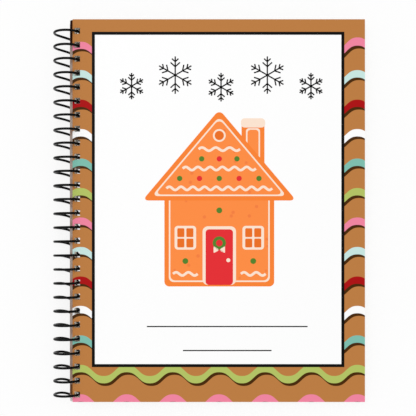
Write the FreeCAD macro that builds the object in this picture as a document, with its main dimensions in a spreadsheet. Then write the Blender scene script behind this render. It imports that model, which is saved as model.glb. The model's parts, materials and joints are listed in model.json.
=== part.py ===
"""A coil-bound book of card pockets, lying flat with its front cover up.

Every piece is drawn in the book's own frame, with the coil's axis as the Y axis, the sheets
reaching out along X and the stack rising along Z. The whole book then leans a little about that
axis, so that it stands on the coil and on the back cover's fore edge.
"""
import FreeCAD
import Part
import Sketcher
import math
import os

# Driving dimensions in millimetres, degrees where the name says angle, and plain counts.
DIMENSIONS = {
    # Sheets
    "cover_width": 132.7,
    "cover_height": 173.7,
    "cover_thickness": 0.5,
    "back_width": 134.8,
    "leaf_width": 133.2,
    "leaf_inset": 0.1,
    "leaf_thickness": 0.3,
    "leaf_count": 6,
    "corner_radius": 0.6,
    # Stack, measured from the coil's axis
    "stack_bottom": -4.0,
    "sheet_gap": 0.1,
    # Punched holes
    "hole_width": 2.5,
    "hole_height": 2.7,
    "hole_lift": 0.3,
    "front_spine_margin": 0.9,
    "inner_spine_margin": 2.6,
    "cut_overrun": 1.0,
    # Coil
    "end_margin": 3.6,
    "loop_pitch": 6.35,
    "wire_diameter": 1.1,
    "coil_radius": 5.8,
    "coil_shift": -1.4,
    "half_turn_lead": 0.3,
    "fall_start_angle": 216.0,
    "back_fall": 1.0,
    "step_start_angle": 272.0,
    "step_end_angle": 326.0,
    "first_end_angle": -58.0,
    "last_end_angle": 290.0,
    # Card pockets, made for cards of 85.6 by 54 mm
    "card_width": 85.6,
    "card_height": 54.0,
    "card_clearance": 2.2,
    "card_showing": 8.0,
    "mouth_slope": 7.0,
    "flap_width": 9.0,
    "flap_thickness": 0.25,
    "flap_gap": 0.4,
    "panel_thickness": 0.25,
    "pocket_rise": 46.0,
    "pocket_gap": 0.2,
}

QUARTER_TURN = 90
HALF_TURN = 180
FULL_TURN = 360

document = FreeCAD.newDocument("card_pocket_book")
sheet = document.addObject("Spreadsheet::Sheet", "Sizes")
for row, (alias, number) in enumerate(DIMENSIONS.items(), start=1):
    sheet.set(f"A{row}", alias)
    sheet.set(f"B{row}", str(number))
    sheet.setAlias(f"B{row}", alias)
document.recompute()


def size(alias):
    """The value of one driving dimension."""
    return float(sheet.get(alias))


def cell(alias):
    """The same dimension as a term of an expression."""
    return f"Sizes.{alias}"


# Heights in the stack, as expressions
LEAF_STEP = (f"({cell('leaf_thickness')} + {cell('flap_thickness')} + {cell('panel_thickness')}"
             f" + {cell('pocket_gap')})")
BACK_BOTTOM = cell("stack_bottom")
FIRST_LEAF_BOTTOM = f"({cell('stack_bottom')} + {cell('cover_thickness')} + {cell('sheet_gap')})"
FRONT_BOTTOM = f"({FIRST_LEAF_BOTTOM} + {cell('leaf_count')} * {LEAF_STEP} - {cell('sheet_gap')})"


def leaf_bottom(number):
    """The underside of a leaf's sheet, counted from the lowest leaf."""
    return f"({FIRST_LEAF_BOTTOM} + {number - 1} * {LEAF_STEP})"


def hole_centre(bottom, thickness):
    """How far a sheet's row of holes lies from the coil's axis, so that the wire meets its middle."""
    return f"sqrt({cell('coil_radius')} ^ 2 - ({bottom} + {cell(thickness)} / 2) ^ 2)"


def spine_edge(bottom, thickness, margin):
    """The edge of a sheet at the spine."""
    return f"({hole_centre(bottom, thickness)} - {cell('hole_width')} / 2 - {cell(margin)})"


# As many loops as the height takes. The row of holes sits where the wire passes half way through a
# leaf's half turn, lifted a little to make room for the end of the wire's step to the next loop.
LOOPS_LESS_ONE = f"floor(({cell('cover_height')} - 2 * {cell('end_margin')}) / {cell('loop_pitch')})"
FIRST_LOOP = f"({cell('coil_shift')} + {LOOPS_LESS_ONE} * {cell('loop_pitch')} / 2)"
MIDDLE_ANGLE = f"asin(({BACK_BOTTOM} + {FRONT_BOTTOM}) / 2 / {cell('coil_radius')}) / 1 deg"
FIRST_HOLE = (f"({FIRST_LOOP} + {cell('half_turn_lead')} * ({QUARTER_TURN} - {MIDDLE_ANGLE}) / {HALF_TURN}"
              f" + {cell('hole_lift')})")

# The lean of the whole book, and the place of the coil's axis
COIL_OUTSIDE = f"({cell('coil_radius')} + {cell('wire_diameter')} / 2)"
BACK_REACH = (f"({spine_edge(BACK_BOTTOM, 'cover_thickness', 'inner_spine_margin')}"
              f" + {cell('back_width')})")
FRONT_REACH = (f"({spine_edge(FRONT_BOTTOM, 'cover_thickness', 'front_spine_margin')}"
               f" + {cell('cover_width')})")
LEAN = (f"asin({COIL_OUTSIDE} / sqrt({BACK_REACH} ^ 2 + {BACK_BOTTOM} ^ 2))"
        f" + atan({BACK_BOTTOM} / {BACK_REACH})")
AXIS_X = f"(({COIL_OUTSIDE} - {FRONT_REACH}) / 2)"


def place(piece):
    """Set a piece drawn about the coil's axis into the leaning book."""
    piece.Placement = FreeCAD.Placement(FreeCAD.Vector(), FreeCAD.Rotation(FreeCAD.Vector(0, 1, 0), 1))
    piece.setExpression("Placement.Base.x", AXIS_X)
    piece.setExpression("Placement.Base.z", COIL_OUTSIDE)
    piece.setExpression("Placement.Rotation.Angle", LEAN)


def origin_plane(body, role):
    """One of a body's own origin planes."""
    return next(feature for feature in body.Origin.OriginFeatures if feature.Role == role)


def outline_sketch(body, name, height):
    """An empty sketch parallel to the sheets, at a height given as an expression."""
    sketch = body.newObject("Sketcher::SketchObject", name)
    sketch.AttachmentSupport = [(origin_plane(body, "XY_Plane"), "")]
    sketch.MapMode = "FlatFace"
    sketch.setExpression("AttachmentOffset.Base.z", height)
    return sketch


def draw_polygon(sketch, corners):
    """Closed straight outline whose corners are pairs of expressions, each held by two dimensions."""
    guesses = [FreeCAD.Vector(math.cos(turn), math.sin(turn), 0)
               for turn in (math.tau * step / len(corners) for step in range(len(corners)))]
    first = sketch.GeometryCount
    for step, point in enumerate(guesses):
        following = guesses[(step + 1) % len(guesses)]
        sketch.addGeometry(Part.LineSegment(point, following), False)
    for step in range(len(corners)):
        line = first + step
        following = first + (step + 1) % len(corners)
        sketch.addConstraint(Sketcher.Constraint("Coincident", line, 2, following, 1))
    for step, (across, along) in enumerate(corners):
        for kind, term in (("DistanceX", across), ("DistanceY", along)):
            held = sketch.addConstraint(Sketcher.Constraint(kind, -1, 1, first + step, 1, 1.0))
            sketch.setExpression(f"Constraints[{held}]", term)


def rectangle(left, right, low, high):
    """The corners of an upright rectangle."""
    return [(left, low), (right, low), (right, high), (left, high)]


def pad(body, sketch, name, thickness):
    """A flat solid of a given thickness, upwards from its sketch."""
    feature = body.newObject("PartDesign::Pad", name)
    feature.Profile = sketch
    feature.setExpression("Length", cell(thickness))
    return feature


def upright_edges(shape):
    """The names of a flat solid's corner edges."""
    names = []
    for number, edge in enumerate(shape.Edges, start=1):
        start = edge.Vertexes[0].Point
        end = edge.Vertexes[-1].Point
        if abs(start.x - end.x) + abs(start.y - end.y) < Part.Precision.confusion():
            names.append(f"Edge{number}")
    return names


def punched_sheet(label, bottom, thickness, margin, width, height, rounded=True):
    """A sheet of the stack, with rounded corners where asked and the row of holes."""
    body = document.addObject("PartDesign::Body", label)
    body.Label = label
    left = spine_edge(bottom, thickness, margin)
    right = f"({left} + {cell(width)})"
    outline = outline_sketch(body, f"{label}_outline", bottom)
    draw_polygon(outline, rectangle(left, right, f"-{height} / 2", f"{height} / 2"))
    blank = pad(body, outline, f"{label}_blank", thickness)
    document.recompute()
    if rounded:
        corners = body.newObject("PartDesign::Fillet", f"{label}_corners")
        corners.Base = (blank, upright_edges(blank.Shape))
        corners.setExpression("Radius", cell("corner_radius"))
        document.recompute()
    hole_left = f"({hole_centre(bottom, thickness)} - {cell('hole_width')} / 2)"
    hole_right = f"({hole_left} + {cell('hole_width')})"
    hole_low = f"({FIRST_HOLE} - {cell('hole_height')} / 2)"
    hole_high = f"({FIRST_HOLE} + {cell('hole_height')} / 2)"
    punch = outline_sketch(body, f"{label}_punch", bottom)
    draw_polygon(punch, rectangle(hole_left, hole_right, hole_low, hole_high))
    first_hole = body.newObject("PartDesign::Pocket", f"{label}_first_hole")
    first_hole.Profile = punch
    first_hole.Reversed = True
    first_hole.setExpression("Length", f"{cell(thickness)} + {cell('cut_overrun')}")
    document.recompute()
    row = body.newObject("PartDesign::LinearPattern", f"{label}_hole_row")
    row.Originals = [first_hole]
    row.Direction = (punch, ["V_Axis"])
    row.Reversed = True
    row.setExpression("Length", f"{LOOPS_LESS_ONE} * {cell('loop_pitch')}")
    row.setExpression("Occurrences", f"{LOOPS_LESS_ONE} + 1")
    body.Tip = row
    place(body)
    return body


# Covers and leaves; the front cover is cut back at the spine, where the sheets below show as a strip
LEAF_HEIGHT = f"({cell('cover_height')} - 2 * {cell('leaf_inset')})"
back_cover = punched_sheet("back_cover", BACK_BOTTOM, "cover_thickness", "inner_spine_margin",
                           "back_width", cell("cover_height"))
front_cover = punched_sheet("front_cover", FRONT_BOTTOM, "cover_thickness", "front_spine_margin",
                            "cover_width", cell("cover_height"), rounded=False)
leaf_numbers = range(1, int(size("leaf_count")) + 1)
leaves = []
for number in leaf_numbers:
    leaves.append(punched_sheet(f"leaf_{number}", leaf_bottom(number), "leaf_thickness",
                                "inner_spine_margin", "leaf_width", LEAF_HEIGHT))

# Card pockets: three glued flaps and a front panel with a slanted mouth on every leaf
POCKET_WIDTH = f"({cell('card_width')} + {cell('card_clearance')} + 2 * {cell('flap_width')})"
POCKET_LOW = f"({cell('pocket_rise')} - {LEAF_HEIGHT} / 2)"
POCKET_HIGH = f"({POCKET_LOW} + {cell('flap_width')} + {cell('card_height')} - {cell('card_showing')})"


def pocket_left(number):
    """The left edge of a pocket, which stands in the middle of its leaf."""
    edge = spine_edge(leaf_bottom(number), "leaf_thickness", "inner_spine_margin")
    return f"({edge} + ({cell('leaf_width')} - {POCKET_WIDTH}) / 2)"


def pocket_flaps(number):
    """The left, right and bottom flaps that are glued to the leaf."""
    label = f"pocket_flaps_{number}"
    left = pocket_left(number)
    right = f"({left} + {POCKET_WIDTH})"
    inner_left = f"({left} + {cell('flap_width')})"
    inner_right = f"({right} - {cell('flap_width')})"
    low_end = f"({POCKET_LOW} + {cell('flap_width')} + {cell('flap_gap')})"
    low_mouth = f"({POCKET_HIGH} - {cell('mouth_slope')})"
    bottom_flap = rectangle(left, right, POCKET_LOW, f"({POCKET_LOW} + {cell('flap_width')})")
    left_flap = rectangle(left, inner_left, low_end, low_mouth)
    right_flap = rectangle(inner_right, right, low_end, low_mouth)
    height = f"({leaf_bottom(number)} + {cell('leaf_thickness')})"
    body = document.addObject("PartDesign::Body", label)
    body.Label = label
    body.AllowCompound = True
    outline = outline_sketch(body, f"{label}_outline", height)
    for corners in (bottom_flap, left_flap, right_flap):
        draw_polygon(outline, corners)
    pad(body, outline, f"{label}_stock", "flap_thickness")
    place(body)
    return body


def pocket_panel(number):
    """The front panel, lower at the right so that the card's corner can be gripped."""
    label = f"pocket_panel_{number}"
    left = pocket_left(number)
    right = f"({left} + {POCKET_WIDTH})"
    corners = [(left, POCKET_LOW), (right, POCKET_LOW),
               (right, f"({POCKET_HIGH} - {cell('mouth_slope')})"), (left, POCKET_HIGH)]
    height = f"({leaf_bottom(number)} + {cell('leaf_thickness')} + {cell('flap_thickness')})"
    body = document.addObject("PartDesign::Body", label)
    body.Label = label
    outline = outline_sketch(body, f"{label}_outline", height)
    draw_polygon(outline, corners)
    pad(body, outline, f"{label}_stock", "panel_thickness")
    place(body)
    return body


pockets = []
for number in leaf_numbers:
    pockets.append(pocket_flaps(number))
    pockets.append(pocket_panel(number))


# Binding coil: loops nearly square to the spine where sheets turn on them, which fall a little behind
# it and take a step to the next loop under the back cover
loop_count = int((size("cover_height") - 2 * size("end_margin")) // size("loop_pitch")) + 1


def fall_share(angle):
    """How far an angle has come through the fall behind the spine, and nothing before it."""
    return max(0.0, (angle - size("fall_start_angle")) / (size("step_start_angle") - size("fall_start_angle")))


def wire_point(loop, angle):
    """A point of the wire's centre line; angle 0 points at the fore edge and 90 straight up."""
    first = size("coil_shift") + (loop_count - 1) * size("loop_pitch") / 2
    lead = size("half_turn_lead") * (angle - HALF_TURN) / HALF_TURN
    lead += size("back_fall") * fall_share(angle) ** 2
    turn = math.radians(angle)
    radius = size("coil_radius")
    return FreeCAD.Vector(radius * math.cos(turn), first - loop * size("loop_pitch") - lead,
                          radius * math.sin(turn))


def wire_slope(angle):
    """How steeply the wire falls along the spine as it goes round."""
    fall_run = size("coil_radius") * math.radians(size("step_start_angle") - size("fall_start_angle"))
    gentle = size("half_turn_lead") / (math.pi * size("coil_radius"))
    return gentle + 2 * size("back_fall") * fall_share(angle) / fall_run


def wire_direction(angle, slope):
    """The direction of the wire where it falls with a given slope."""
    turn = math.radians(angle)
    along = FreeCAD.Vector(-math.sin(turn), -slope, math.cos(turn))
    return along.normalize()


def step_middle(loop):
    """The point and direction half way along the step from one loop to the next, a cubic curve."""
    start_angle = size("step_start_angle")
    end_angle = size("step_end_angle")
    start = wire_point(loop, start_angle)
    end = wire_point(loop + 1, end_angle - FULL_TURN)
    entry = wire_slope(start_angle)
    leaving = wire_slope(end_angle - FULL_TURN)
    run = size("coil_radius") * math.radians(end_angle - start_angle)
    middle_angle = (start_angle + end_angle) / 2
    point = wire_point(loop, middle_angle)
    point.y = (start.y + end.y) / 2 - (entry - leaving) * run / 8
    slope = 3 * (start.y - end.y) / (2 * run) - (entry + leaving) / 4
    return point, wire_direction(middle_angle, slope)


def wire_knots():
    """The points and directions that the wire passes, from its first end to its last."""
    knots = []
    for loop in range(loop_count):
        start_angle = size("first_end_angle") if loop == 0 else size("step_end_angle") - FULL_TURN
        end_angle = size("last_end_angle") if loop == loop_count - 1 else size("step_start_angle")
        fall_angle = size("fall_start_angle")
        for angle in (start_angle, (start_angle + fall_angle) / 2, fall_angle, end_angle):
            knots.append((wire_point(loop, angle), wire_direction(angle, wire_slope(angle))))
        if loop < loop_count - 1:
            knots.append(step_middle(loop))
    return knots


def arc_between(start, direction, end):
    """The circular arc that leaves a point in a given direction and ends at another point."""
    chord = end - start
    half_chord = chord.Length / 2
    forward = FreeCAD.Vector(chord).normalize()
    sideways = direction - forward * direction.dot(forward)
    half_sweep = math.acos(max(-1.0, min(1.0, direction.dot(forward))))
    middle = start + chord / 2 + sideways.normalize() * half_chord * math.tan(half_sweep / 2)
    return Part.Arc(start, middle, end)


def biarc(start, start_direction, end, end_direction):
    """Two arcs that leave and arrive in the given directions and share theirs where they meet."""
    span = end - start
    both = start_direction + end_direction
    spread = 2 * (1 - start_direction.dot(end_direction))
    reach = span.dot(both)
    length = (math.sqrt(reach ** 2 + spread * span.dot(span)) - reach) / spread
    meeting = (start + end + (start_direction - end_direction) * length) / 2
    second = arc_between(end, end_direction * -1, meeting)
    return [arc_between(start, start_direction, meeting).toShape(),
            Part.Arc(meeting, second.value((second.FirstParameter + second.LastParameter) / 2), end).toShape()]


def coil_arcs():
    """The arcs of the wire's centre line, in order."""
    knots = wire_knots()
    arcs = []
    for (start, start_direction), (end, end_direction) in zip(knots, knots[1:]):
        arcs.extend(biarc(start, start_direction, end, end_direction))
    return arcs


def least_gap(arcs):
    """The least clear space between a loop and the next, measured on points of a few loops."""
    loops_measured = 3
    points_per_arc = 12
    arcs_per_loop = len(arcs) // loop_count
    samples = [edge.discretize(points_per_arc) for edge in arcs[:loops_measured * arcs_per_loop]]
    least = size("loop_pitch")
    for number, own in enumerate(samples):
        for other in samples[number + arcs_per_loop // 2:]:
            nearest = min(one.distanceToPoint(two) for one in own for two in other)
            least = min(least, nearest)
    return least - size("wire_diameter")


arcs = coil_arcs()
centre_line = Part.Wire(arcs)
first_point, first_direction = wire_knots()[0]
section = Part.Wire([Part.makeCircle(size("wire_diameter") / 2, first_point, first_direction)])
binding_coil = document.addObject("Part::Feature", "binding_coil")
binding_coil.Label = "binding_coil"
binding_coil.Shape = centre_line.makePipeShell([section], True, False)
place(binding_coil)

document.recompute()
sub_parts = [binding_coil, back_cover, front_cover] + leaves + pockets

wire_area = math.pi * (size("wire_diameter") / 2) ** 2
print("coil volume over section times length:", binding_coil.Shape.Volume / (wire_area * centre_line.Length))
print("least gap of the coil to itself, mm:", round(least_gap(arcs), 3))
print("tightest bend of the coil, mm:", round(min(arc.Curve.Radius for arc in arcs), 3))

for item in document.Objects:
    if "Invalid" in item.State or "Error" in item.State:
        raise RuntimeError(f"{item.Name} did not build: {item.State}")
for piece in sub_parts:
    if piece.Shape.isNull() or not piece.Shape.isValid():
        raise RuntimeError(f"{piece.Label} has no valid shape")

os.makedirs("parts", exist_ok=True)
for piece in sub_parts:
    piece.Shape.exportStep(os.path.join("parts", f"{piece.Label}.step"))
    print(piece.Label, len(piece.Shape.Solids), "solids,", round(piece.Shape.Volume, 3), "mm3")
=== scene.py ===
import json
import math

import bmesh
import bpy
from mathutils import Matrix, Vector
from mathutils.geometry import interpolate_bezier


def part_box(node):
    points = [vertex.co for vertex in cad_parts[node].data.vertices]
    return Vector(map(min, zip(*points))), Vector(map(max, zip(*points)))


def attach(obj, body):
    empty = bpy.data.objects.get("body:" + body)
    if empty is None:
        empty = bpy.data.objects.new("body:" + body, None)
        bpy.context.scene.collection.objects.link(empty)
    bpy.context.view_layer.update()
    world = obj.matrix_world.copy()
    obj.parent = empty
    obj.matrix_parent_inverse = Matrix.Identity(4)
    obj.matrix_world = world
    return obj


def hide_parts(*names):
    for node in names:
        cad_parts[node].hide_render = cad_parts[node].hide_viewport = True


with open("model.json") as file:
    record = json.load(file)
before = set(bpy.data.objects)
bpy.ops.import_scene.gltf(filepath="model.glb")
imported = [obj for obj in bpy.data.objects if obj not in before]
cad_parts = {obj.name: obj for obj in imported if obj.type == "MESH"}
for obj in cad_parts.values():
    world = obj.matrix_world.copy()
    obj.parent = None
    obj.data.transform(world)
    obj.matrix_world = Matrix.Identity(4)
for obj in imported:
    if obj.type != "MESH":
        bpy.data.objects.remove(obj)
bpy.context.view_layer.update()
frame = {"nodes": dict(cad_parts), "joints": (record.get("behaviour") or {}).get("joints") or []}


# Back cover: the lowest sheet, a stiff board with rounded corners, grey-lilac inside and printed plain
# brown outside. It reaches as far at the spine as the leaves, and the coil stays with it. The sheets
# lean a little towards the fore edge, because the coil lifts the spine.
MM = 0.001
COVER_THICKNESS = 0.5 * MM
BOARD_LILAC = (158, 139, 134)
BOARD_BROWN = (176, 117, 66)
BOARD_CORE = (214, 204, 192)
BOARD_SURFACE = dict(swells=700.0, roughness=0.5, spread=0.2, grain=1800.0, depth=0.03 * MM,
                     swell_detail=5.0)
CORE_SHARE = 0.154
CORE_FIBRE_SHARE = 0.028
OUTSIDE_FADE_SHARE = 0.25
PAPER_GLOSS = 0.06
FACING_LIMIT = 0.5
STEP_BLUR = 0.1

back_low, back_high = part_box("back_cover")
lean = math.atan2(back_high.z - back_low.z - COVER_THICKNESS, back_high.x - back_low.x)


class Value:
    """A number that changes over a surface; working with it adds Math nodes to its tree."""

    def __init__(self, tree, socket):
        self.tree = tree
        self.socket = socket

    def maths(self, operation, *terms):
        return self.tree.node("ShaderNodeMath", {"operation": operation}, dict(enumerate(terms)))

    def __add__(self, other):
        return self.maths("ADD", self, other)

    def __radd__(self, other):
        return self.maths("ADD", other, self)

    def __sub__(self, other):
        return self.maths("SUBTRACT", self, other)

    def __rsub__(self, other):
        return self.maths("SUBTRACT", other, self)

    def __mul__(self, other):
        return self.maths("MULTIPLY", self, other)

    def __rmul__(self, other):
        return self.maths("MULTIPLY", other, self)

    def __truediv__(self, other):
        return self.maths("DIVIDE", self, other)

    def __rtruediv__(self, other):
        return self.maths("DIVIDE", other, self)

    def __abs__(self):
        return self.maths("ABSOLUTE", self)

    def cosine(self):
        return self.maths("COSINE", self)

    def floor(self):
        return self.maths("FLOOR", self)

    def modulo(self, other):
        return self.maths("FLOORED_MODULO", self, other)

    def lesser(self, other):
        return self.maths("MINIMUM", self, other)

    def greater(self, other):
        return self.maths("MAXIMUM", self, other)

    def under(self, limit, blur):
        """1 where the value is under a limit and 0 past it, with a soft edge."""
        return ((limit - self) / blur + 0.5).greater(0.0).lesser(1.0)

    def over(self, limit, blur):
        """1 where the value is over a limit and 0 before it, with a soft edge."""
        return 1 - self.under(limit, blur)

    def between(self, low, high, blur):
        """1 where the value lies between two limits."""
        return self.over(low, blur) * self.under(high, blur)

    def at_least(self, number):
        """1 where a whole number is at least another."""
        return self.over(number - 0.5, STEP_BLUR)


class Nodes:
    """The nodes of a finish, or of the white surround."""

    def __init__(self, tree):
        self.nodes = tree.nodes
        self.links = tree.links

    def feed(self, socket, content):
        """Give a socket a link, a number or a colour."""
        if isinstance(content, Value):
            self.links.new(content.socket, socket)
        else:
            socket.default_value = content

    def node(self, kind, settings, sockets, output=0):
        """Any node, with its settings first and then what its sockets take."""
        added = self.nodes.new(kind)
        for name, setting in settings.items():
            setattr(added, name, setting)
        for name, content in sockets.items():
            self.feed(added.inputs[name], content)
        return Value(self, added.outputs[output])


class Finish(Nodes):
    """A material on a surface's own object coordinates; constants go on its shader's sockets."""

    def __init__(self, name, **constants):
        self.material = bpy.data.materials.new(name)
        self.material.use_nodes = True
        super().__init__(self.material.node_tree)
        self.shader = self.nodes["Principled BSDF"]
        for socket, number in constants.items():
            self.shader.inputs[socket.replace("_", " ")].default_value = number

    def place(self, output="Object"):
        """The surface's object coordinates, or its normal, as three values."""
        vector = self.node("ShaderNodeTexCoord", {}, {}, output)
        split = self.node("ShaderNodeSeparateXYZ", {}, {"Vector": vector})
        return [Value(self, socket) for socket in split.socket.node.outputs]

    def noise(self, scale, detail):
        """Grain of a given number of swells per metre."""
        vector = self.node("ShaderNodeTexCoord", {}, {}, "Object")
        sockets = {"Vector": vector, "Scale": scale, "Detail": detail}
        return self.node("ShaderNodeTexNoise", {}, sockets, "Fac")

    def mix(self, share, base, top):
        """One colour laid over another; the Mix node numbers its sockets through all kinds of value."""
        return self.node("ShaderNodeMix", {"data_type": "RGBA"}, {0: share, 6: base, 7: top}, 2)

    def colour(self, content):
        self.feed(self.shader.inputs["Base Color"], content)

    def roughness(self, content):
        self.feed(self.shader.inputs["Roughness"], content)

    def grain(self, height, depth):
        """Fine relief, with its depth in metres."""
        sockets = {"Height": height, "Distance": depth, "Strength": 1.0}
        bump = self.node("ShaderNodeBump", {}, sockets, "Normal")
        self.feed(self.shader.inputs["Normal"], bump)


def linear(colour):
    """A colour written in the usual 0 to 255, as the linear light that a shader works in."""
    shares = [level / 255 for level in colour]
    curve = [share / 12.92 if share <= 0.04045 else ((share + 0.055) / 1.055) ** 2.4 for share in shares]
    return (*curve, 1.0)


def fine_surface(finish, swells, roughness, spread, grain, depth, swell_detail=4.0, grain_detail=4.0):
    """Swells that vary the roughness, and a finer grain with relief; both are counted per metre."""
    swell = finish.noise(swells, swell_detail)
    finish.roughness(roughness + swell * spread)
    finish.grain(finish.noise(grain, grain_detail), depth)
    return swell


def face_masks(finish):
    """Shares of the upper and the lower face of a sheet; what is left is its cut edge."""
    facing = finish.place("Normal")[2]
    return facing.over(FACING_LIMIT, STEP_BLUR), facing.under(-FACING_LIMIT, STEP_BLUR)


def board_finish():
    finish = Finish("back_board", Specular_IOR_Level=PAPER_GLOSS)
    fibre = fine_surface(finish, **BOARD_SURFACE)
    upper, lower = face_masks(finish)
    lilac = finish.mix(CORE_SHARE - fibre * CORE_FIBRE_SHARE, linear(BOARD_LILAC), linear(BOARD_CORE))
    outside = finish.mix(fibre * OUTSIDE_FADE_SHARE, linear(BOARD_BROWN), linear(BOARD_LILAC))
    sides = finish.mix(upper, linear(BOARD_CORE), lilac)
    finish.colour(finish.mix(lower, sides, outside))
    return finish


def dress(node, finish):
    """Give a sheet of the book its finish."""
    sheet = frame["nodes"][node]
    sheet.data.materials.clear()
    sheet.data.materials.append(finish.material)


dress("back_cover", board_finish())


# Leaves: six cream card-stock leaves with the same row of holes as the covers. Each is printed on its
# upper face with a frame line and rows of piped icing along the foot. A grey-lilac strip at the spine,
# which shows beside the front cover, is painted shade of the leaves' edges under the cover's edge, with a
# painted shadow near black at the head.
LEAF_COUNT = 6
LEAF_CREAM = (250, 244, 232)
LEAF_BACK = (246, 241, 233)
LEAF_EDGE = (236, 230, 219)
LEAF_SURFACE = dict(swells=1200.0, roughness=0.66, spread=0.18, grain=2400.0, depth=0.02 * MM)
LEAF_FIBRE_SHARE = 0.3
LEAF_FRAME_INSET = 7.0 * MM
LEAF_FRAME_LINE = 0.6 * MM
FOOT_ROWS = 2
PRINT_BROWN = (190, 126, 67)
INK_BLUR = 0.12 * MM
ICING_COLOURS = {
    "pink": (240, 133, 161),
    "mint": (200, 230, 225),
    "red": (171, 11, 14),
    "white": (253, 253, 253),
    "teal": (126, 190, 174),
    "green": (179, 195, 101),
}
ICING_SHADOW = (70, 38, 0)
SHADOW_DROP = 1.2 * MM
SHADOW_OFFSET = 0.75 * MM
WAVE_PERIOD = 20.93 * MM
WAVE_HEIGHT = 5.05 * MM
WAVE_ROUNDNESS = 0.25
WAVE_SPACING = 13.375 * MM
WAVE_THICKNESS = 3.33 * MM
STRIP_WIDTH = 2.0 * MM
STRIP_BLUR = 1.2 * MM
# Grey-lilac painted shade of the leaves' edges beside the front cover, put on the cream paper
STRIP_LILAC_PAINTED_SHADE = (174, 160, 152)
STRIP_TINT = (134, 80, 40)
STRIP_TINT_SHARE = 0.45
TINT_SWELLS = 130.0
TINT_DETAIL = 1.0
TINT_LIMIT = 0.53
TINT_BLUR = 0.12
# Painted shadow, near black, over the strip's first stretch from the head, and how far it reaches
STRIP_HEAD_PAINTED_SHADOW = (38, 12, 2)
STRIP_HEAD_SHADOW_REACH = 11.5 * MM
STRIP_BROWN = (108, 70, 42)
STRIP_BROWN_FOOT = 8.0 * MM
STRIP_PALE = (208, 206, 203)
STRIP_PALE_FOOT = 2.6 * MM


def icing_waves(finish, across, down, ground):
    """Rows of piped icing over a ground: across and down are lengths on the sheet, down from the
    first crest, and every row has the next colour and a shadow below it and to its right."""
    def rows(shift, drop):
        """The nearest row's number, and the share of a point that lies within it."""
        swing = ((across - shift) * (math.tau / WAVE_PERIOD)).cosine()
        rounded = swing * (1 + WAVE_ROUNDNESS - swing * swing * WAVE_ROUNDNESS)
        depth = down - drop - WAVE_THICKNESS / 2 - (1 - rounded) * (WAVE_HEIGHT / 2)
        number = (depth / WAVE_SPACING + 0.5).floor()
        distance = abs(depth - number * WAVE_SPACING)
        return number, distance.under(WAVE_THICKNESS / 2, INK_BLUR) * number.at_least(0)

    _, shadow = rows(SHADOW_OFFSET, SHADOW_DROP)
    number, band = rows(0.0, 0.0)
    turn = number.modulo(float(len(ICING_COLOURS)))
    colours = list(ICING_COLOURS.values())
    icing = linear(colours[0])
    for place, colour in enumerate(colours[1:], start=1):
        icing = finish.mix(turn.at_least(place), icing, linear(colour))
    painted = finish.mix(shadow, ground, linear(ICING_SHADOW))
    return finish.mix(band, painted, icing)


def spine_strip_painted_shade(finish, from_head, from_foot):
    """The strip along a leaf's spine, painted shade of the page edges beside the front cover: grey-lilac,
    tinted brown in places, with a painted shadow dark at the head, and pale at the foot.
    """
    tint = finish.noise(TINT_SWELLS, TINT_DETAIL).over(TINT_LIMIT, TINT_BLUR)
    painted_shade_strip = finish.mix(tint * STRIP_TINT_SHARE, linear(STRIP_LILAC_PAINTED_SHADE), linear(STRIP_TINT))
    painted_shade_strip = finish.mix(from_foot.under(STRIP_BROWN_FOOT, STRIP_BLUR), painted_shade_strip, linear(STRIP_BROWN))
    painted_shade_strip = finish.mix(from_foot.under(STRIP_PALE_FOOT, STRIP_BLUR), painted_shade_strip, linear(STRIP_PALE))
    # Painted shadow laid over the strip near the head
    return finish.mix(from_head.under(STRIP_HEAD_SHADOW_REACH, STRIP_BLUR), painted_shade_strip, linear(STRIP_HEAD_PAINTED_SHADOW))


def leaf_finish(node):
    low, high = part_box(node)
    finish = Finish(f"{node}_stock", Specular_IOR_Level=PAPER_GLOSS)
    fibre = fine_surface(finish, **LEAF_SURFACE)
    across, along, _ = finish.place()
    upper, lower = face_masks(finish)

    def within(inset):
        """Share of a point that lies further inside the leaf's edges than an inset."""
        return (across.between(low.x + inset, high.x - inset, INK_BLUR)
                * along.between(low.y + inset, high.y - inset, INK_BLUR))

    paper = finish.mix(fibre * LEAF_FIBRE_SHARE, linear(LEAF_CREAM), linear(LEAF_EDGE))
    panel = within(LEAF_FRAME_INSET + LEAF_FRAME_LINE)
    printed = finish.mix(within(LEAF_FRAME_INSET) * (1 - panel), paper, linear(PRINT_BROWN))
    first_crest = low.y + LEAF_FRAME_INSET + FOOT_ROWS * WAVE_SPACING
    waves = icing_waves(finish, across - low.x, first_crest - along, linear(PRINT_BROWN))
    printed = finish.mix(panel * along.under(first_crest - WAVE_HEIGHT, INK_BLUR), printed, waves)
    # The spine strip is painted shade of the page edges beside the front cover, not print
    painted_shade_strip = spine_strip_painted_shade(finish, high.y - along, along - low.y)
    printed = finish.mix(across.under(low.x + STRIP_WIDTH, INK_BLUR), printed, painted_shade_strip)
    sides = finish.mix(lower, linear(LEAF_EDGE), linear(LEAF_BACK))
    finish.colour(finish.mix(upper, sides, printed))
    return finish


for leaf in range(1, LEAF_COUNT + 1):
    dress(f"leaf_{leaf}", leaf_finish(f"leaf_{leaf}"))


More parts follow.
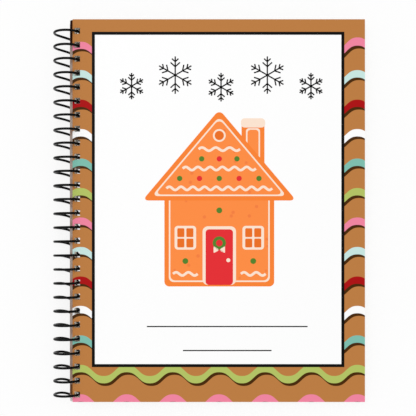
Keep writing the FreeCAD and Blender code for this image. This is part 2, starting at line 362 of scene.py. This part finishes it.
# Card pockets: on each leaf a coloured card-stock panel on three flaps, folded under and glued down. The
# colours follow the icing, and a dotted line is printed round each panel's edge, cream on most panels
# and teal on the pale one.
DOT_CREAM = (255, 248, 236)
DOT_TEAL = (72, 146, 132)
POCKET_INKS = [
    ((126, 194, 180), DOT_CREAM),
    ((246, 134, 166), DOT_CREAM),
    ((180, 199, 104), DOT_CREAM),
    ((200, 60, 62), DOT_CREAM),
    ((200, 233, 228), DOT_TEAL),
    ((214, 160, 104), DOT_CREAM),
]
POCKET_SURFACE = dict(swells=1500.0, roughness=0.6, spread=0.2, grain=2400.0, depth=0.02 * MM)
POCKET_DEEPEST_SHARE = 0.93
FIBRE_SHARE = 0.5
DOT_INSET = 3.2 * MM
DOT_PITCH = 3.0 * MM
DOT_LENGTH = 1.6 * MM
DOT_WIDTH = 0.5 * MM


def mottled(finish, share, colour, deepest_share):
    """A colour that is deeper in places, down to a share of its levels."""
    deepest = tuple(round(level * deepest_share) for level in colour)
    return finish.mix(share, linear(colour), linear(deepest))


def pocket_finish(node, colour, dots):
    low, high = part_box(node)
    finish = Finish(f"{node}_stock", Specular_IOR_Level=PAPER_GLOSS)
    fibre = fine_surface(finish, **POCKET_SURFACE)
    across, along, _ = finish.place()
    upper, _ = face_masks(finish)

    def dotted(value, limit, other):
        """A dotted line where one value meets a limit; its dots repeat along the other."""
        dots_along = other.modulo(DOT_PITCH).under(DOT_LENGTH, INK_BLUR)
        return abs(value - limit).under(DOT_WIDTH / 2, INK_BLUR) * dots_along

    left = dotted(across, low.x + DOT_INSET, along)
    right = dotted(across, high.x - DOT_INSET, along)
    foot = dotted(along, low.y + DOT_INSET, across)
    reach = DOT_INSET - DOT_WIDTH
    within = (across.between(low.x + reach, high.x - reach, INK_BLUR)
              * along.over(low.y + reach, INK_BLUR))
    line = left.greater(right).greater(foot) * within
    paper = mottled(finish, fibre * FIBRE_SHARE, colour, POCKET_DEEPEST_SHARE)
    finish.colour(finish.mix(line * upper, paper, linear(dots)))
    return finish


for leaf, (panel_colour, dot_colour) in enumerate(POCKET_INKS, start=1):
    pocket = pocket_finish(f"pocket_panel_{leaf}", panel_colour, dot_colour)
    dress(f"pocket_panel_{leaf}", pocket)
    dress(f"pocket_flaps_{leaf}", pocket)


# Front cover: a sheet of stiff card with square corners, printed and coated. It has a brown ground with
# wavy rows of piped icing, the first of which rises towards the fore edge, and a white panel inside a
# black frame line.
PANEL_WHITE = (254, 254, 254)
FRAME_BLACK = (3, 3, 3)
COVER_INSIDE = (244, 240, 234)
COVER_EDGE = (226, 214, 198)
COVER_SURFACE = dict(swells=1400.0, roughness=0.38, spread=0.12, grain=2000.0, depth=0.01 * MM,
                     grain_detail=3.0)
GROUND_DEEPEST_SHARE = 0.95
FIRST_CREST = 9.72 * MM
FIRST_ROW_RISE = 1.95 * MM
RISE_PIVOT_SHARE = 0.3
CREST_FROM_SPINE = 3.68 * MM
FRAME_FROM_SPINE = 8.77 * MM
FRAME_FROM_FORE = 9.36 * MM
FRAME_FROM_HEAD = 5.69 * MM
FRAME_FROM_FOOT = 15.83 * MM
FRAME_LINE = 1.38 * MM

cover_low, cover_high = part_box("front_cover")
cover_width = (cover_high.x - cover_low.x) / math.cos(lean)
cover_height = cover_high.y - cover_low.y


def cover_finish():
    finish = Finish("printed_cover", Specular_IOR_Level=PAPER_GLOSS)
    fibre = fine_surface(finish, **COVER_SURFACE)
    across, along, _ = finish.place()
    upper, lower = face_masks(finish)
    across = across - cover_low.x
    down = cover_high.y - along
    below_first = down - FIRST_CREST
    rise = (across / cover_width - RISE_PIVOT_SHARE) * FIRST_ROW_RISE
    slanted = below_first + rise * (1 - below_first / WAVE_SPACING).greater(0.0)
    ground = mottled(finish, fibre * FIBRE_SHARE, PRINT_BROWN, GROUND_DEEPEST_SHARE)
    printed = icing_waves(finish, across - CREST_FROM_SPINE, slanted, ground)

    def framed(inset):
        """Share of a point that lies further inside the frame line's outer edge than an inset."""
        return (across.between(FRAME_FROM_SPINE + inset, cover_width - FRAME_FROM_FORE - inset, INK_BLUR)
                * down.between(FRAME_FROM_HEAD + inset, cover_height - FRAME_FROM_FOOT - inset, INK_BLUR))

    printed = finish.mix(framed(0.0), printed, linear(FRAME_BLACK))
    printed = finish.mix(framed(FRAME_LINE), printed, linear(PANEL_WHITE))
    sides = finish.mix(lower, linear(COVER_EDGE), linear(COVER_INSIDE))
    finish.colour(finish.mix(upper, sides, printed))
    return finish


dress("front_cover", cover_finish())


# Printed picture: thin films of ink on the cover's white panel, for an iced biscuit house of three cut
# pieces, a row of snowflakes over it and two blank writing lines under it. Its places are in millimetres
# from the spine edge and the cover's middle, or from the house's own middle.
INK_FILM = 0.006 * MM
SORT_LINE = Vector((1.0, 0.37, 0.11))
INK_ROUGHNESS = 0.42
INK_SWELLS = 420.0
INK_DETAIL = 2.0
INK_MOTTLE_SHARE = 0.08
INK_DEEPEST_SHARE = 0.88
INK_BLACK = (16, 15, 15)
ICING_CREAM = (253, 229, 209)
SWEET_RED = (229, 46, 52)
SWEET_GREEN = (84, 130, 46)
PANE_AMBER = (236, 112, 34)
DOUGH = (253, 141, 68)
DOUGH_EDGE = (250, 132, 53)
DOUGH_SPECKLE = (237, 117, 62)
SPECKLES_PER_METRE = 190.0
SPECKLE_RADIUS_SHARE = 0.15
SPECKLE_BLUR = 0.06
SPECKLE_STRENGTH = 0.6
CORNER_SEGMENTS = 6
DOT_SEGMENTS = 28

cover_face = (Matrix.Translation((cover_low.x + COVER_THICKNESS * math.sin(lean), 0, cover_high.z))
              @ Matrix.Rotation(lean, 4, "Y"))


def ink_finish(name, colour):
    """Coated print ink with a faint mottle."""
    finish = Finish(name, Roughness=INK_ROUGHNESS, Specular_IOR_Level=PAPER_GLOSS)
    mottle = finish.noise(INK_SWELLS, INK_DETAIL) * INK_MOTTLE_SHARE
    finish.colour(mottled(finish, mottle, colour, INK_DEEPEST_SHARE))
    return finish


def dough_finish():
    """The baked face of the biscuit: orange, with small round speckles of spice."""
    finish = Finish("ink_dough", Roughness=INK_ROUGHNESS, Specular_IOR_Level=PAPER_GLOSS)
    vector = finish.node("ShaderNodeTexCoord", {}, {}, "Object")
    sockets = {"Vector": vector, "Scale": SPECKLES_PER_METRE}
    spots = finish.node("ShaderNodeTexVoronoi", {}, sockets, "Distance")
    speckle = spots.under(SPECKLE_RADIUS_SHARE, SPECKLE_BLUR) * SPECKLE_STRENGTH
    finish.colour(finish.mix(speckle, linear(DOUGH), linear(DOUGH_SPECKLE)))
    return finish


def set_down(name, bm, finish, body, matrix):
    """A finished piece: its place goes into its mesh, and it rides on a body of the book."""
    bmesh.ops.transform(bm, matrix=matrix, verts=bm.verts[:])
    bmesh.ops.recalc_face_normals(bm, faces=bm.faces[:])
    mesh = bpy.data.meshes.new(name)
    bm.to_mesh(mesh)
    bm.free()
    mesh.materials.append(finish.material)
    piece = bpy.data.objects.new(name, mesh)
    bpy.context.scene.collection.objects.link(piece)
    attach(piece, body)
    return piece


def print_film(name, finish, drawings, centre):
    """Lay flat drawings on the cover as films of ink; higher layers cover lower ones. Extrude leaves the
    walls in no fixed order, so the faces are sorted along a skew line by middle and first corner."""
    bm = bmesh.new()
    for layer, draw in drawings:
        older = set(bm.faces)
        draw(bm)
        fresh = [face for face in bm.faces if face not in older]
        raised = bmesh.ops.extrude_face_region(bm, geom=fresh)
        risen = [item for item in raised["geom"] if isinstance(item, bmesh.types.BMVert)]
        bmesh.ops.translate(bm, verts=risen, vec=(0, 0, INK_FILM * layer))
    bm.faces.sort(key=lambda face: (face.calc_center_median() + face.verts[0].co).dot(SORT_LINE))
    set_down(name, bm, finish, "front_cover", cover_face @ Matrix.Translation(centre))


def outline(bm, corners, rounding=0.0):
    """A flat shape with rounded corners."""
    verts = [bm.verts.new((x * MM, y * MM, 0)) for x, y in corners]
    bm.faces.new(verts)
    if rounding:
        bmesh.ops.bevel(bm, geom=verts, offset=rounding * MM, offset_type="OFFSET", affect="VERTICES",
                        segments=CORNER_SEGMENTS, profile=0.5, material=-1)


def block(bm, left, low, right, high, rounding=0.0):
    """An upright rectangle."""
    outline(bm, [(left, low), (right, low), (right, high), (left, high)], rounding)


def dot(bm, x, y, radius):
    """A round dot."""
    bmesh.ops.create_circle(bm, cap_ends=True, segments=DOT_SEGMENTS, radius=radius * MM,
                            matrix=Matrix.Translation((x * MM, y * MM, 0)))


PIPING_WIDTH = 1.15
PIPING_SWING = 0.75
SWELL_SEGMENTS = 14


def piping(bm, middle, half, level, swells):
    """A wavy line of icing of even width."""
    length = 2 * half
    made = bmesh.ops.create_grid(bm, x_segments=swells * SWELL_SEGMENTS, y_segments=1, size=0.5)
    for vert in made["verts"]:
        phase = (vert.co.x + 0.5) * swells * math.tau
        slope = PIPING_SWING * swells * math.tau / length * math.cos(phase)
        square = Vector((-slope, 1)).normalized() * vert.co.y * PIPING_WIDTH
        vert.co = Vector((middle + vert.co.x * length + square.x,
                          level + PIPING_SWING * math.sin(phase) + square.y, 0)) * MM


HOUSE_CENTRE = Vector((66.6 * MM, 3.5 * MM, 0))
CHIMNEY_LEFT = 11.0
CHIMNEY_RIGHT = 19.6
CHIMNEY_LOW = 10.0
CHIMNEY_TOP = 35.0
CHIMNEY_ROUNDING = 1.4
WALL_HALF = 24.0
WALL_LOW = -37.0
WALL_TOP = 6.0
WALL_ROUNDING = 2.2
ROOF_HALF = 33.0
ROOF_LOW = 2.0
ROOF_TOP = 41.0
ROOF_ROUNDING = 2.8
DOUGH_RIM = 0.9
ICING_INSET = 1.1
FACE_INSET = 1.8
CHIMNEY_LAYER = 1
WALL_LAYER = 4
ROOF_LAYER = 7


def biscuit(step, grow):
    """The house's three cut pieces at a step within their layers, grown by a rim or shrunk by an inset."""
    def chimney(bm):
        block(bm, CHIMNEY_LEFT - grow, CHIMNEY_LOW - grow, CHIMNEY_RIGHT + grow, CHIMNEY_TOP + grow,
              CHIMNEY_ROUNDING)

    def walls(bm):
        block(bm, -WALL_HALF - grow, WALL_LOW - grow, WALL_HALF + grow, WALL_TOP + grow, WALL_ROUNDING)

    def roof(bm):
        pitch = math.atan2(ROOF_TOP - ROOF_LOW, ROOF_HALF)
        reach = ROOF_HALF + grow / math.tan(pitch / 2)
        eaves = ROOF_LOW - grow
        ridge = ROOF_TOP + grow / math.cos(pitch)
        outline(bm, [(-reach, eaves), (reach, eaves), (0, ridge)], ROOF_ROUNDING)

    return [(CHIMNEY_LAYER + step, chimney), (WALL_LAYER + step, walls), (ROOF_LAYER + step, roof)]


# Rows of icing on the roof: level, half length and number of swells
ROOF_PIPING = [(6.6, 24.0, 9), (15.6, 16.6, 6), (24.4, 9.4, 3)]
CAP_OVERHANG = 1.2
CAP_LOW = 34.2
CAP_TOP = 38.4
CAP_ROUNDING = 1.7
DOOR_HALF = 6.2
DOOR_LOW = -37.2
DOOR_TOP = -12.0
DOOR_ROUNDING = 1.5
DOOR_FRAME = 1.4
DOOR_FRAME_ROUNDING = 2.4
WINDOW_ACROSS = 15.4
WINDOW_HALF = 4.9
WINDOW_LOW = -21.2
WINDOW_TOP = -10.4
WINDOW_ROUNDING = 1.5
DRIFT_HALF = 5.6
DRIFT_LEVEL = -32.2
DRIFT_SWELLS = 2
GABLE_LEVEL = 30.6
GABLE_RING_RADIUS = 2.9
GABLE_PANE_RADIUS = 2.1
ICING_LAYER = 10


def house_icing(bm):
    """Piped rows on the roof and under the windows, a chimney cap, and frames round door and windows."""
    for level, half, swells in ROOF_PIPING:
        piping(bm, 0, half, level, swells)
    block(bm, CHIMNEY_LEFT - CAP_OVERHANG, CAP_LOW, CHIMNEY_RIGHT + CAP_OVERHANG, CAP_TOP, CAP_ROUNDING)
    frame_half = DOOR_HALF + DOOR_FRAME
    block(bm, -frame_half, DOOR_LOW, frame_half, DOOR_TOP + DOOR_FRAME, DOOR_FRAME_ROUNDING)
    for middle in (-WINDOW_ACROSS, WINDOW_ACROSS):
        block(bm, middle - WINDOW_HALF, WINDOW_LOW, middle + WINDOW_HALF, WINDOW_TOP, WINDOW_ROUNDING)
        piping(bm, middle, DRIFT_HALF, DRIFT_LEVEL, DRIFT_SWELLS)
    dot(bm, 0, GABLE_LEVEL, GABLE_RING_RADIUS)


PANE_LOWS = [-20.2, -15.5]
PANE_ACROSS = 2.05
PANE_HALF = 1.6
PANE_HEIGHT = 4.0
PANE_ROUNDING = 0.5
PANE_LAYER = 11


def house_panes(bm):
    """Four panes in each window, and a round one in the gable."""
    for window in (-WINDOW_ACROSS, WINDOW_ACROSS):
        for low in PANE_LOWS:
            for middle in (window - PANE_ACROSS, window + PANE_ACROSS):
                block(bm, middle - PANE_HALF, low, middle + PANE_HALF, low + PANE_HEIGHT, PANE_ROUNDING)
    dot(bm, 0, GABLE_LEVEL, GABLE_PANE_RADIUS)


# Rows of sweets on the roof, green and red in turn: level, spacing and count
SWEET_ROWS = [(11.1, 9.0, 5), (20.0, 8.0, 3)]
SWEET_RADIUS = 1.2
WALL_SWEET_RADIUS = 1.3
WINDOW_SWEET_LEVEL = -26.4
DOOR_SWEET_LEVEL = -3.4
WREATH_LEVEL = -18.2
WREATH_RADIUS = 3.0
WREATH_HOLE_RADIUS = 1.5
DOOR_LAYER = 11
SWEET_LAYER = 12
WREATH_HOLE_LAYER = 13


def roof_sweets(bm, first):
    """Every second sweet of both rows, from the first one named."""
    for level, spacing, count in SWEET_ROWS:
        for place in range(first, count, 2):
            dot(bm, (place - (count - 1) / 2) * spacing, level, SWEET_RADIUS)


def house_reds(bm):
    """The door, and the red sweets."""
    block(bm, -DOOR_HALF, DOOR_LOW, DOOR_HALF, DOOR_TOP, DOOR_ROUNDING)
    roof_sweets(bm, 1)


def house_greens(bm):
    """The green sweets, and the wreath on the door."""
    roof_sweets(bm, 0)
    for middle in (-WINDOW_ACROSS, WINDOW_ACROSS):
        dot(bm, middle, WINDOW_SWEET_LEVEL, WALL_SWEET_RADIUS)
    dot(bm, 0, DOOR_SWEET_LEVEL, WALL_SWEET_RADIUS)
    dot(bm, 0, WREATH_LEVEL, WREATH_RADIUS)


def wreath_hole(bm):
    """The door that shows through the wreath."""
    dot(bm, 0, WREATH_LEVEL, WREATH_HOLE_RADIUS)


# The right half of the wreath's bow, from its knot round its loop
BOW_CORNERS = [(0.3, -21.0), (2.6, -19.6), (2.6, -22.8), (0.3, -21.6)]
BOW_ROUNDING = 0.5
KNOB_ACROSS = 4.1
KNOB_LEVEL = -26.0
KNOB_RADIUS = 0.9
BOW_LAYER = 14


def house_bow(bm):
    """The wreath's bow, and the door's knob."""
    for side in (-1, 1):
        outline(bm, [(side * x, y) for x, y in BOW_CORNERS], BOW_ROUNDING)
    dot(bm, KNOB_ACROSS, KNOB_LEVEL, KNOB_RADIUS)


# Snowflakes: middle and radius, and the barbs' place and length as shares of the radius
FLAKES = [(26.8, 56.5, 6.0), (46.6, 61.5, 8.5), (67.4, 56.0, 6.5), (88.4, 61.5, 8.5), (108.2, 56.5, 6.0)]
BARB_SHARES = [(0.45, 0.34), (0.72, 0.24)]
BARB_ANGLE = math.radians(48.0)
FLAKE_ARMS = 6
FLAKE_LINE = 0.62
PANEL_LAYER = 1


def flake_stroke(bm, turn, start, angle, length):
    """A thin bar that starts some way up an arm and leaves it at an angle."""
    made = bmesh.ops.create_grid(bm, x_segments=1, y_segments=1, size=0.5)
    bmesh.ops.scale(bm, vec=(FLAKE_LINE * MM, length * MM, 1), verts=made["verts"])
    bmesh.ops.translate(bm, vec=(0, length * MM / 2, 0), verts=made["verts"])
    place = turn @ Matrix.Translation((0, start * MM, 0)) @ Matrix.Rotation(angle, 4, "Z")
    bmesh.ops.transform(bm, matrix=place, verts=made["verts"])


def snowflakes(bm):
    """Six-armed flakes drawn with thin strokes, each arm with two pairs of barbs."""
    for x, y, radius in FLAKES:
        middle = Matrix.Translation((x * MM, y * MM, 0))
        for arm in range(FLAKE_ARMS):
            turn = middle @ Matrix.Rotation(arm * math.tau / FLAKE_ARMS, 4, "Z")
            flake_stroke(bm, turn, 0, 0, radius)
            for place_share, length_share in BARB_SHARES:
                for angle in (-BARB_ANGLE, BARB_ANGLE):
                    flake_stroke(bm, turn, radius * place_share, angle, radius * length_share)


# Blank lines to write on: start, end and level
WRITING_LINES = [(33.7, 106.7, -52.6), (50.1, 90.3, -63.5)]
WRITING_LINE_WIDTH = 0.55


def writing_lines(bm):
    for start, end, level in WRITING_LINES:
        block(bm, start, level - WRITING_LINE_WIDTH / 2, end, level + WRITING_LINE_WIDTH / 2)


cream = ink_finish("ink_icing", ICING_CREAM)
red = ink_finish("ink_red", SWEET_RED)
green = ink_finish("ink_green", SWEET_GREEN)
amber = ink_finish("ink_panes", PANE_AMBER)
black = ink_finish("ink_black", INK_BLACK)
crust = ink_finish("ink_dough_edge", DOUGH_EDGE)
print_film("print_house_rim", crust, biscuit(0, DOUGH_RIM), HOUSE_CENTRE)
print_film("print_house_line", cream, biscuit(1, -ICING_INSET), HOUSE_CENTRE)
print_film("print_house_dough", dough_finish(), biscuit(2, -FACE_INSET), HOUSE_CENTRE)
print_film("print_house_icing", cream, [(ICING_LAYER, house_icing)], HOUSE_CENTRE)
print_film("print_house_panes", amber, [(PANE_LAYER, house_panes)], HOUSE_CENTRE)
print_film("print_house_reds", red, [(DOOR_LAYER, house_reds), (WREATH_HOLE_LAYER, wreath_hole)],
           HOUSE_CENTRE)
print_film("print_house_greens", green, [(SWEET_LAYER, house_greens)], HOUSE_CENTRE)
print_film("print_house_bow", cream, [(BOW_LAYER, house_bow)], HOUSE_CENTRE)
print_film("print_snowflakes", black, [(PANEL_LAYER, snowflakes)], Vector())
print_film("print_writing_lines", black, [(PANEL_LAYER, writing_lines)], Vector())


# Binding coil: one black nylon-coated wire, wound into loops nearly square to the spine and threaded
# through the punched holes of every sheet. Behind the spine it falls a little, and it steps on to the
# next loop under the back cover, where it doesn't show.
HALF_TURN = 180
FULL_TURN = 360
WIRE_DIAMETER = 1.1 * MM
WIRE_ROUNDNESS = 4
LOOP_COUNT = 27
LOOP_PITCH = 6.35 * MM
HALF_TURN_LEAD = 0.3 * MM
FALL_START_ANGLE = 216
BACK_FALL = 1.0 * MM
STEP_START_ANGLE = 272
STEP_END_ANGLE = 326
FIRST_END_ANGLE = -58
LAST_END_ANGLE = 290
ANGLE_STEP = 7
MERGE_SHARE = 0.001
COIL_BLACK = (2, 2, 2)
COIL_GLOSS = 0.09
COIL_SURFACE = dict(swells=900.0, roughness=0.22, spread=0.16, grain=2600.0, depth=0.02 * MM,
                    swell_detail=3.0, grain_detail=3.0)

coil_axis = Vector(frame["joints"][0]["pos_m"])
coil_low, coil_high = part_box("binding_coil")
coil_radius = (coil_high.z - coil_low.z - WIRE_DIAMETER) / 2
first_lead = HALF_TURN_LEAD * (HALF_TURN - FIRST_END_ANGLE) / HALF_TURN
first_loop = coil_high.y - WIRE_DIAMETER / 2 - first_lead


def fall_share(angle):
    """How far an angle has come through the fall behind the spine, and nothing before it."""
    return max(0.0, (angle - FALL_START_ANGLE) / (STEP_START_ANGLE - FALL_START_ANGLE))


def loop_point(loop, angle):
    """A point of a loop, square to the spine apart from its gentle lead and its fall behind the spine."""
    lead = HALF_TURN_LEAD * (angle - HALF_TURN) / HALF_TURN + BACK_FALL * fall_share(angle) ** 2
    turn = math.radians(angle)
    return Vector((coil_radius * math.cos(turn), first_loop - loop * LOOP_PITCH - lead,
                   coil_radius * math.sin(turn)))


def even_angles(start, end):
    """Angles from start to end, about one step apart."""
    count = round((end - start) / ANGLE_STEP)
    return [start + (end - start) * number / count for number in range(count + 1)]


def step_points(loop):
    """The wire between one loop and the next: it leaves with the fall's slope and arrives nearly square."""
    start = Vector((STEP_START_ANGLE, loop_point(loop, STEP_START_ANGLE).y))
    end = Vector((STEP_END_ANGLE, loop_point(loop + 1, STEP_END_ANGLE - FULL_TURN).y))
    third = (STEP_END_ANGLE - STEP_START_ANGLE) / 3
    gentle = HALF_TURN_LEAD / HALF_TURN
    falling = gentle + 2 * BACK_FALL / (STEP_START_ANGLE - FALL_START_ANGLE)
    count = round((STEP_END_ANGLE - STEP_START_ANGLE) / ANGLE_STEP) + 1
    curve = interpolate_bezier(start, start + Vector((third, -third * falling)),
                               end - Vector((third, -third * gentle)), end, count)
    points = []
    for angle, along in curve[1:-1]:
        point = loop_point(loop, angle)
        point.y = along
        points.append(point)
    return points


def coil_points():
    """The wire's centre line from its first end to its last, in the book's own frame."""
    points = []
    for loop in range(LOOP_COUNT):
        last = loop == LOOP_COUNT - 1
        start = FIRST_END_ANGLE if loop == 0 else STEP_END_ANGLE - FULL_TURN
        end = LAST_END_ANGLE if last else STEP_START_ANGLE
        points += [loop_point(loop, angle) for angle in even_angles(start, end)]
        if not last:
            points += step_points(loop)
    return points


def wire_mesh(points):
    """A round wire along points, as a bmesh; its two end caps stay flat."""
    line = bpy.data.curves.new("coil_line", "CURVE")
    line.dimensions = "3D"
    line.bevel_depth = WIRE_DIAMETER / 2
    line.bevel_resolution = WIRE_ROUNDNESS
    line.resolution_u = 2
    line.use_fill_caps = True
    spline = line.splines.new("NURBS")
    spline.points.add(len(points) - 1)
    for knot, point in zip(spline.points, points):
        knot.co = (*point, 1.0)
    spline.order_u = 3
    spline.use_endpoint_u = True
    holder = bpy.data.objects.new("coil_line", line)
    mesh = bpy.data.meshes.new_from_object(holder)
    bm = bmesh.new()
    bm.from_mesh(mesh)
    bpy.data.objects.remove(holder)
    bpy.data.curves.remove(line)
    bpy.data.meshes.remove(mesh)
    bmesh.ops.remove_doubles(bm, verts=bm.verts[:], dist=WIRE_DIAMETER * MERGE_SHARE)
    for face in bm.faces:
        face.smooth = len(face.verts) == 4
    return bm


def coil_finish():
    """Black nylon coat: a soft gloss with faint scuffs."""
    finish = Finish("black_nylon_coat", Specular_IOR_Level=COIL_GLOSS)
    finish.colour(linear(COIL_BLACK))
    fine_surface(finish, **COIL_SURFACE)
    return finish


book = Matrix.Translation(coil_axis) @ Matrix.Rotation(lean, 4, "Y")
coil = set_down("coil_wire", wire_mesh(coil_points()), coil_finish(), "binding", book)
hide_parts("binding_coil")


# Stage: a plain white floor, a white surround, one broad soft lamp and a camera square to the front
# cover. The camera's eye stands below the picture's middle, and its shift keeps the cover in the frame.
CAMERA_DISTANCE = 346.1 * MM
CAMERA_LENS = 66.0
CAMERA_SENSOR = 36.0
CAMERA_SIDE = -4.88 * MM
VIEW_ALONG = 1.19 * MM
EYE_DROP = 14.5 * MM
FLOOR_SIZE = 6.0
FLOOR_DROP = 0.02 * MM
FLOOR_WHITE = (250, 250, 250)
FLOOR_ROUGHNESS = 0.9
SHADOW_SHARE = 0.2
WHITE_LIGHT = (1, 1, 1, 1)
SKY_STRENGTH = 0.767
LAMP_PLACE = Vector((-0.5, 0.45, 1.88))
LAMP_SIZE = 1.2
LAMP_POWER = 10.6

camera_data = bpy.data.cameras.new("camera")
camera_data.lens = CAMERA_LENS
camera_data.sensor_width = CAMERA_SENSOR
view_width = CAMERA_DISTANCE * CAMERA_SENSOR / CAMERA_LENS
camera_data.shift_y = EYE_DROP / view_width
camera = bpy.data.objects.new("camera", camera_data)
eye = Vector((cover_width / 2 + CAMERA_SIDE, VIEW_ALONG - EYE_DROP, CAMERA_DISTANCE))
camera.matrix_world = cover_face @ Matrix.Translation(eye)
bpy.context.scene.collection.objects.link(camera)
bpy.context.scene.camera = camera


def seen_directly(tree):
    """1 for what the camera sees, also as a reflection, and 0 for the light that falls on the book."""
    seen = tree.node("ShaderNodeLightPath", {}, {}, "Is Camera Ray")
    mirrored = tree.node("ShaderNodeLightPath", {}, {}, "Is Glossy Ray")
    return seen.greater(mirrored)


def floor_finish():
    """White that glows where it is seen, and keeps a share of the book's shadow."""
    finish = Finish("floor_white", Roughness=FLOOR_ROUGHNESS)
    finish.colour(linear(FLOOR_WHITE))
    lit = Value(finish, finish.shader.outputs["BSDF"])
    glow = finish.node("ShaderNodeEmission", {}, {"Color": WHITE_LIGHT, "Strength": 1.0})
    glow_share = seen_directly(finish) * (1 - SHADOW_SHARE)
    blend = finish.node("ShaderNodeMixShader", {}, {0: glow_share, 1: lit, 2: glow})
    finish.feed(finish.nodes["Material Output"].inputs["Surface"], blend)
    return finish


floor_bm = bmesh.new()
bmesh.ops.create_grid(floor_bm, x_segments=1, y_segments=1, size=FLOOR_SIZE / 2,
                      matrix=Matrix.Translation((0, 0, -FLOOR_DROP)))
floor_mesh = bpy.data.meshes.new("floor")
floor_bm.to_mesh(floor_mesh)
floor_bm.free()
floor_mesh.materials.append(floor_finish().material)
floor = bpy.data.objects.new("floor", floor_mesh)
bpy.context.scene.collection.objects.link(floor)

surround = bpy.data.worlds.new("white_surround")
surround.use_nodes = True
sky = Nodes(surround.node_tree)
background = sky.nodes["Background"]
sky.feed(background.inputs["Color"], WHITE_LIGHT)
sky.feed(background.inputs["Strength"], SKY_STRENGTH + seen_directly(sky) * (1 - SKY_STRENGTH))
bpy.context.scene.world = surround

lamp_data = bpy.data.lights.new("soft_lamp", "AREA")
lamp_data.size = LAMP_SIZE
lamp_data.energy = LAMP_POWER
lamp = bpy.data.objects.new("soft_lamp", lamp_data)
lamp.location = LAMP_PLACE
lamp.rotation_mode = "QUATERNION"
lamp.rotation_quaternion = (-LAMP_PLACE).to_track_quat("-Z", "Y")
bpy.context.scene.collection.objects.link(lamp)

bpy.context.scene.view_settings.view_transform = "Standard"
